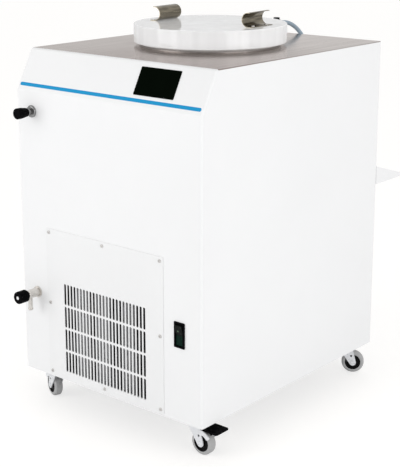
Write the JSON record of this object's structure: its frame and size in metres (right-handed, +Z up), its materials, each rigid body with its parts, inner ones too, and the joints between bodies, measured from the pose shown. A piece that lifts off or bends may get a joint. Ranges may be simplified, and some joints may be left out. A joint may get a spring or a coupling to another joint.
{
  "type": "floor-standing laboratory freeze dryer",
  "caption": "Floor-standing lab freeze dryer: white cabinet on castors, steel top, round clear chamber lid with bent handles, sloping touch display, vent and drain valves, rear tray.",
  "frame": {"origin": "on the floor under the middle of the chamber lid, which is also the middle of the footprint", "axes": "+Z up, -Y towards the operator at the front, +X to the operator's right"},
  "size_m": [0.5673, 0.8129, 0.8964],
  "materials": {
    "white_paint": "white powder-coated sheet steel",
    "zinc_sheet": "zinc-plated sheet",
    "stainless_top": "brushed stainless sheet",
    "zinc_screw": "bright zinc-plated steel",
    "stainless_pot": "satin stainless",
    "silicone": "translucent white silicone",
    "clear_acrylic": "clear cast acrylic, polished edge",
    "handle_steel": "satin stainless sheet",
    "display_glass": "black touch glass",
    "black_plastic": "black moulded plastic",
    "rocker_plastic": "dark rocker, green lower half",
    "chrome": "polished chrome",
    "nickel_brass": "nickel-plated brass",
    "white_plastic": "white cap",
    "copper_tube": "copper tube",
    "foam": "black nitrile foam",
    "black_paint": "black enamelled steel",
    "rubber_feet": "black rubber",
    "fin_aluminium": "bare aluminium fins",
    "fan_plastic": "black fan plastic",
    "hose_pu": "grey-blue polyurethane tube",
    "zinc_plate": "bright zinc-plated pressings",
    "castor_fork": "bright zinc-plated pressing",
    "hub_plastic": "black nylon",
    "grey_tyre": "light grey rubber tread",
    "pedal_plastic": "black pedal"
  },
  "bodies": {
    "cabinet": {"front_panel": "white_paint", "side_panel_left": "white_paint", "side_panel_right": "white_paint", "access_panel": "white_paint", "rear_panel": "white_paint", "rear_tray": "white_paint", "base_plate": "zinc_sheet", "top_plate": "stainless_top", "panel_screws": "zinc_screw", "chamber_pot": "stainless_pot", "lid_gasket": "silicone", "lid": "clear_acrylic", "handle_left": "handle_steel", "handle_right": "handle_steel", "handle_screws": "zinc_screw", "display_glass": "display_glass", "display_module": "black_plastic", "switch_bezel": "black_plastic", "vent_flange": "chrome", "drain_valve": "nickel_brass", "evaporator_coil": "copper_tube", "insulation": "foam", "compressor": "black_paint", "compressor_feet": "rubber_feet", "condenser_fins": "fin_aluminium", "condenser_tubes": "copper_tube", "fan_shroud": "zinc_sheet", "fan_motor": "black_paint", "filter_drier": "copper_tube", "refrigerant_lines": "copper_tube", "chamber_lines": "silicone", "mains_inlet": "black_plastic", "vacuum_port": "stainless_pot", "hose_elbows": "black_plastic", "hose": "hose_pu", "castor_plates": "zinc_plate", "castor_bolts": "zinc_screw"},
    "vent_knob_body": {"vent_knob": "black_plastic"},
    "drain_knob_body": {"drain_knob": "black_plastic", "drain_knob_cap": "white_plastic"},
    "rocker_body": {"rocker": "rocker_plastic"},
    "fan_body": {"fan_blade": "fan_plastic"},
    "castor_front_left": {"fork_front_left": "castor_fork", "axle_front_left": "zinc_screw"},
    "wheel_front_left": {"hub_front_left": "hub_plastic", "tyre_front_left": "grey_tyre"},
    "pedal_front_left": {"brake_pedal_front_left": "pedal_plastic"},
    "castor_front_right": {"fork_front_right": "castor_fork", "axle_front_right": "zinc_screw"},
    "wheel_front_right": {"hub_front_right": "hub_plastic", "tyre_front_right": "grey_tyre"},
    "pedal_front_right": {"brake_pedal_front_right": "pedal_plastic"},
    "castor_rear_left": {"fork_rear_left": "castor_fork", "axle_rear_left": "zinc_screw"},
    "wheel_rear_left": {"hub_rear_left": "hub_plastic", "tyre_rear_left": "grey_tyre"},
    "castor_rear_right": {"fork_rear_right": "castor_fork", "axle_rear_right": "zinc_screw"},
    "wheel_rear_right": {"hub_rear_right": "hub_plastic", "tyre_rear_right": "grey_tyre"}
  },
  "joints": [
    {"name": "vent_knob_turn", "type": "hinge", "parent": "cabinet", "child": "vent_knob_body", "pos_m": [-0.218, -0.3615, 0.685], "axis": [0, -1, 0], "range_deg": [0, 720]},
    {"name": "drain_knob_turn", "type": "hinge", "parent": "cabinet", "child": "drain_knob_body", "pos_m": [-0.218, -0.3825, 0.272], "axis": [0, -1, 0], "range_deg": [0, 360]},
    {"name": "switch_rocker", "type": "hinge", "parent": "cabinet", "child": "rocker_body", "pos_m": [0.206, -0.3445, 0.2718], "axis": [-1, 0, 0], "range_deg": [0, 16]},
    {"name": "fan_spin", "type": "hinge", "parent": "cabinet", "child": "fan_body", "pos_m": [-0.0094, -0.272, 0.23], "axis": [0, 1, 0], "continuous": true},
    {"name": "swivel_front_left", "type": "hinge", "parent": "cabinet", "child": "castor_front_left", "pos_m": [-0.208, -0.2995, 0.076], "axis": [0, 0, 1], "continuous": true},
    {"name": "roll_front_left", "type": "hinge", "parent": "castor_front_left", "child": "wheel_front_left", "pos_m": [-0.23048, -0.29109, 0.027], "axis": [-0.3502, -0.9367, 0], "continuous": true},
    {"name": "brake_front_left", "type": "hinge", "parent": "castor_front_left", "child": "pedal_front_left", "pos_m": [-0.22111, -0.2946, 0.064], "axis": [-0.3502, -0.9367, 0], "range_deg": [0, 12]},
    {"name": "swivel_front_right", "type": "hinge", "parent": "cabinet", "child": "castor_front_right", "pos_m": [0.208, -0.2995, 0.076], "axis": [0, 0, 1], "continuous": true},
    {"name": "roll_front_right", "type": "hinge", "parent": "castor_front_right", "child": "wheel_front_right", "pos_m": [0.232, -0.2995, 0.027], "axis": [0, 1, 0], "continuous": true},
    {"name": "brake_front_right", "type": "hinge", "parent": "castor_front_right", "child": "pedal_front_right", "pos_m": [0.222, -0.2995, 0.064], "axis": [0, 1, 0], "range_deg": [0, 12]},
    {"name": "swivel_rear_left", "type": "hinge", "parent": "cabinet", "child": "castor_rear_left", "pos_m": [-0.208, 0.2645, 0.076], "axis": [0, 0, 1], "continuous": true},
    {"name": "roll_rear_left", "type": "hinge", "parent": "castor_rear_left", "child": "wheel_rear_left", "pos_m": [-0.20078, 0.28739, 0.027], "axis": [-0.9537, 0.3007, 0], "continuous": true},
    {"name": "swivel_rear_right", "type": "hinge", "parent": "cabinet", "child": "castor_rear_right", "pos_m": [0.208, 0.2645, 0.076], "axis": [0, 0, 1], "continuous": true},
    {"name": "roll_rear_right", "type": "hinge", "parent": "castor_rear_right", "child": "wheel_rear_right", "pos_m": [0.22835, 0.27722, 0.027], "axis": [-0.5299, 0.848, 0], "continuous": true}
  ]
}
